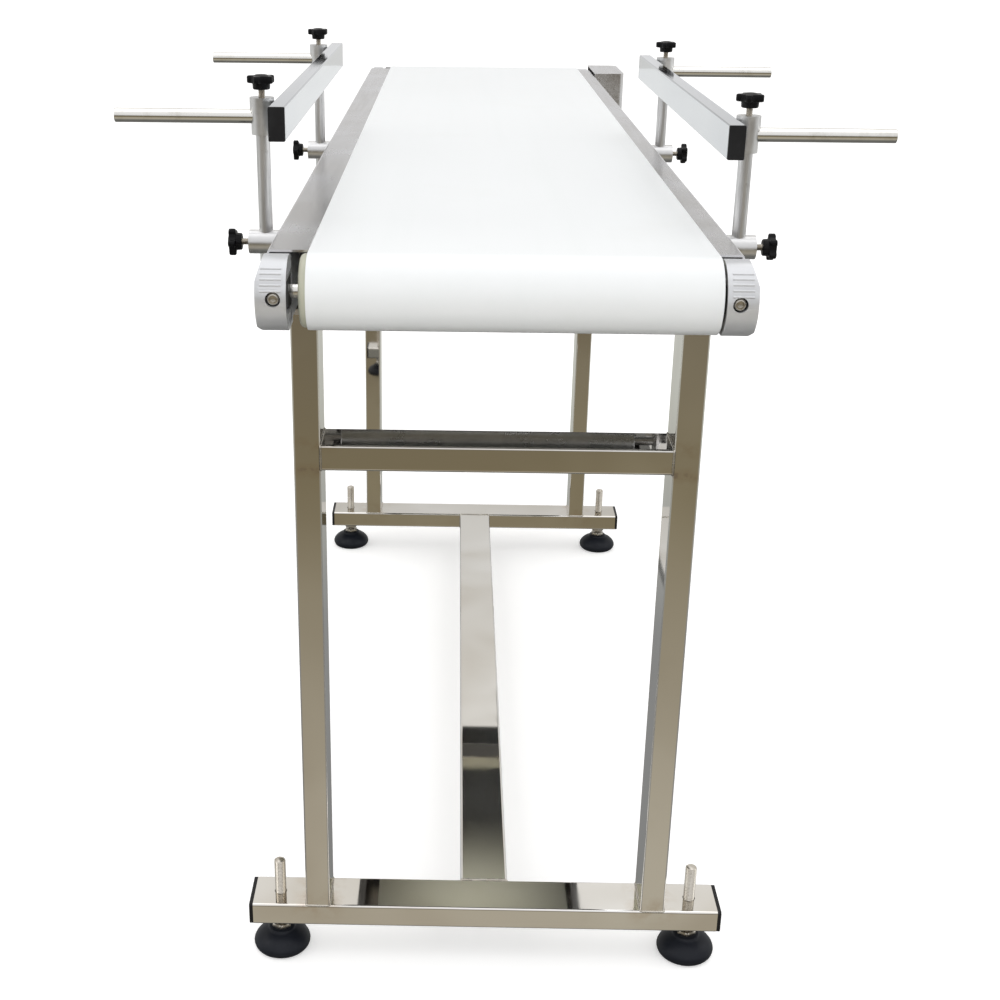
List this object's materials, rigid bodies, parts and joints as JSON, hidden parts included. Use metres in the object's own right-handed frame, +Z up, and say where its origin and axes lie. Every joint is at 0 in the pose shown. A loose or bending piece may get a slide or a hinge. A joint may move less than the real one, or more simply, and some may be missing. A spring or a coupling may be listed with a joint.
{
  "type": "belt conveyor section",
  "caption": "Flat belt conveyor on a tubular steel stand with levelling feet, screw take-up at the tail, belt-driven head roller and adjustable side guide rails.",
  "frame": {"origin": "on the floor under the middle of the bed", "axes": "+X across the belt to the side with the drive cover, +Y along the belt from the tail end to the drive end, +Z up"},
  "size_m": [0.67, 1.638, 0.904],
  "materials": {
    "stainless_sheet": "brushed stainless sheet with soft cloudy reflections",
    "stainless_tube": "bright polished stainless tube",
    "polished_steel": "polished bright round bar",
    "drawn_steel": "satin drawn round bar",
    "turned_steel": "turned steel",
    "zinc_fasteners": "bright fasteners",
    "cast_grey": "light grey satin casting",
    "dark_casting": "dark grey satin casting",
    "belt_white": "smooth white belt, slightly glossy",
    "roller_cream": "ivory plastic roller",
    "roller_rubber": "black lagged roller",
    "roller_zinc": "zinc plated roller",
    "pulley_aluminium": "machined",
    "black_rubber": "black rubber",
    "motor_grey": "grey machine paint",
    "black_plastic": "black moulded plastic",
    "foot_black": "black moulded foot with a zinc plated stud",
    "clamp_aluminium": "satin turned aluminium",
    "rail_aluminium": "satin light grey",
    "knob_black": "black satin star knob"
  },
  "bodies": {
    "root": {"slider_bed": "stainless_sheet", "bed_cross_ties": "turned_steel", "end_brackets": "cast_grey", "conveyor_belt": "belt_white", "drive_bearings": "turned_steel", "drive_belt": "black_rubber", "gearbox": "motor_grey", "motor_body": "motor_grey", "fan_cover": "black_plastic", "terminal_box": "motor_grey", "power_cable": "black_rubber", "motor_plate": "stainless_sheet", "drive_cover": "stainless_sheet", "return_roller_shafts": "turned_steel", "return_roller_hangers": "stainless_sheet", "legs": "stainless_tube", "leg_brackets": "stainless_sheet", "cross_braces": "stainless_tube", "foot_beams": "stainless_tube", "base_stretcher": "stainless_tube", "foot_beam_caps": "black_plastic", "foot_lock_nuts": "zinc_fasteners", "hex_bolts": "zinc_fasteners", "button_screws": "zinc_fasteners", "lower_clamps": "clamp_aluminium"},
    "drive": {"drive_roller": "roller_rubber", "drive_shaft": "turned_steel", "driven_pulley": "pulley_aluminium"},
    "motor_rotor": {"motor_shaft": "turned_steel", "motor_pulley": "pulley_aluminium"},
    "tail_takeup": {"tail_shaft": "polished_steel", "takeup_blocks": "dark_casting"},
    "tail_roller": {"tail_roller": "roller_cream", "tail_roller_bearings": "turned_steel"},
    "return_near": {"return_roller_near": "roller_zinc"},
    "return_far": {"return_roller_far": "roller_zinc"},
    "tension_left": {"tension_screw_left": "zinc_fasteners"},
    "tension_right": {"tension_screw_right": "zinc_fasteners"},
    "guide_left": {"guide_posts_left": "drawn_steel", "upper_clamps_left": "clamp_aluminium"},
    "rail_left": {"cross_rods_left": "polished_steel", "guide_rail_left": "rail_aluminium", "rail_caps_left": "black_plastic"},
    "guide_right": {"guide_posts_right": "drawn_steel", "upper_clamps_right": "clamp_aluminium"},
    "rail_right": {"cross_rods_right": "polished_steel", "guide_rail_right": "rail_aluminium", "rail_caps_right": "black_plastic"},
    "knob_post_left_near": {"knob_post_left_near": "knob_black"},
    "knob_post_left_far": {"knob_post_left_far": "knob_black"},
    "knob_post_right_near": {"knob_post_right_near": "knob_black"},
    "knob_post_right_far": {"knob_post_right_far": "knob_black"},
    "knob_rod_left_near": {"knob_rod_left_near": "knob_black"},
    "knob_rod_left_far": {"knob_rod_left_far": "knob_black"},
    "knob_rod_right_near": {"knob_rod_right_near": "knob_black"},
    "knob_rod_right_far": {"knob_rod_right_far": "knob_black"},
    "foot_near_left": {"foot_near_left": "foot_black"},
    "foot_near_right": {"foot_near_right": "foot_black"},
    "foot_far_left": {"foot_far_left": "foot_black"},
    "foot_far_right": {"foot_far_right": "foot_black"}
  },
  "joints": [
    {"name": "drive_spin", "type": "hinge", "parent": "root", "child": "drive", "pos_m": [0, 0.786, 0.746], "axis": [1, 0, 0], "continuous": true},
    {"name": "motor_spin", "type": "hinge", "parent": "root", "child": "motor_rotor", "pos_m": [0, 0.725, 0.64], "axis": [1, 0, 0], "continuous": true},
    {"name": "tail_takeup", "type": "slide", "parent": "root", "child": "tail_takeup", "axis": [0, 1, 0], "range_m": [0, 0.005]},
    {"name": "tail_spin", "type": "hinge", "parent": "tail_takeup", "child": "tail_roller", "pos_m": [0, -0.786, 0.746], "axis": [1, 0, 0], "continuous": true},
    {"name": "return_near_spin", "type": "hinge", "parent": "root", "child": "return_near", "pos_m": [0, -0.33, 0.695], "axis": [1, 0, 0], "continuous": true},
    {"name": "return_far_spin", "type": "hinge", "parent": "root", "child": "return_far", "pos_m": [0, 0.06, 0.695], "axis": [1, 0, 0], "continuous": true},
    {"name": "tension_left_turn", "type": "hinge", "parent": "root", "child": "tension_left", "pos_m": [-0.1855, -0.8, 0.746], "axis": [0, -1, 0], "range_deg": [0, 1801]},
    {"name": "tension_right_turn", "type": "hinge", "parent": "root", "child": "tension_right", "pos_m": [0.1855, -0.8, 0.746], "axis": [0, -1, 0], "range_deg": [0, 1801]},
    {"name": "guide_left_lift", "type": "slide", "parent": "root", "child": "guide_left", "axis": [0, 0, 1], "range_m": [-0.071, 0.008]},
    {"name": "guide_left_reach", "type": "slide", "parent": "guide_left", "child": "rail_left", "axis": [1, 0, 0], "range_m": [0, 0.105]},
    {"name": "knob_post_left_near_turn", "type": "hinge", "parent": "root", "child": "knob_post_left_near", "pos_m": [-0.223, -0.667, 0.761], "axis": [-1, 0, 0], "range_deg": [0, 360]},
    {"name": "knob_rod_left_near_turn", "type": "hinge", "parent": "guide_left", "child": "knob_rod_left_near", "pos_m": [-0.208, -0.667, 0.885], "axis": [0, 0, 1], "range_deg": [0, 360]},
    {"name": "knob_post_left_far_turn", "type": "hinge", "parent": "root", "child": "knob_post_left_far", "pos_m": [-0.223, -0.117, 0.761], "axis": [-1, 0, 0], "range_deg": [0, 360]},
    {"name": "knob_rod_left_far_turn", "type": "hinge", "parent": "guide_left", "child": "knob_rod_left_far", "pos_m": [-0.208, -0.117, 0.885], "axis": [0, 0, 1], "range_deg": [0, 360]},
    {"name": "guide_right_lift", "type": "slide", "parent": "root", "child": "guide_right", "axis": [0, 0, 1], "range_m": [-0.06, 0.008]},
    {"name": "guide_right_reach", "type": "slide", "parent": "guide_right", "child": "rail_right", "axis": [-1, 0, 0], "range_m": [0, 0.105]},
    {"name": "knob_post_right_near_turn", "type": "hinge", "parent": "root", "child": "knob_post_right_near", "pos_m": [0.223, -0.667, 0.761], "axis": [1, 0, 0], "range_deg": [0, 360]},
    {"name": "knob_rod_right_near_turn", "type": "hinge", "parent": "guide_right", "child": "knob_rod_right_near", "pos_m": [0.208, -0.667, 0.874], "axis": [0, 0, 1], "range_deg": [0, 360]},
    {"name": "knob_post_right_far_turn", "type": "hinge", "parent": "root", "child": "knob_post_right_far", "pos_m": [0.223, -0.117, 0.761], "axis": [1, 0, 0], "range_deg": [0, 360]},
    {"name": "knob_rod_right_far_turn", "type": "hinge", "parent": "guide_right", "child": "knob_rod_right_far", "pos_m": [0.208, -0.117, 0.874], "axis": [0, 0, 1], "range_deg": [0, 360]},
    {"name": "foot_near_left_level", "type": "slide", "parent": "root", "child": "foot_near_left", "axis": [0, 0, 1], "range_m": [-0.03, 0.003]},
    {"name": "foot_near_right_level", "type": "slide", "parent": "root", "child": "foot_near_right", "axis": [0, 0, 1], "range_m": [-0.03, 0.003]},
    {"name": "foot_far_left_level", "type": "slide", "parent": "root", "child": "foot_far_left", "axis": [0, 0, 1], "range_m": [-0.03, 0.003]},
    {"name": "foot_far_right_level", "type": "slide", "parent": "root", "child": "foot_far_right", "axis": [0, 0, 1], "range_m": [-0.03, 0.003]}
  ],
  "couplings": [
    {"joint": "motor_spin", "follows": "drive_spin", "ratio": 1},
    {"joint": "tail_spin", "follows": "drive_spin", "ratio": 1},
    {"joint": "return_near_spin", "follows": "drive_spin", "ratio": -1.6316},
    {"joint": "return_far_spin", "follows": "drive_spin", "ratio": -1.6316},
    {"joint": "tension_left_turn", "follows": "tail_takeup", "rad_per_m": 6283.2},
    {"joint": "tension_right_turn", "follows": "tail_takeup", "rad_per_m": 6283.2}
  ]
}
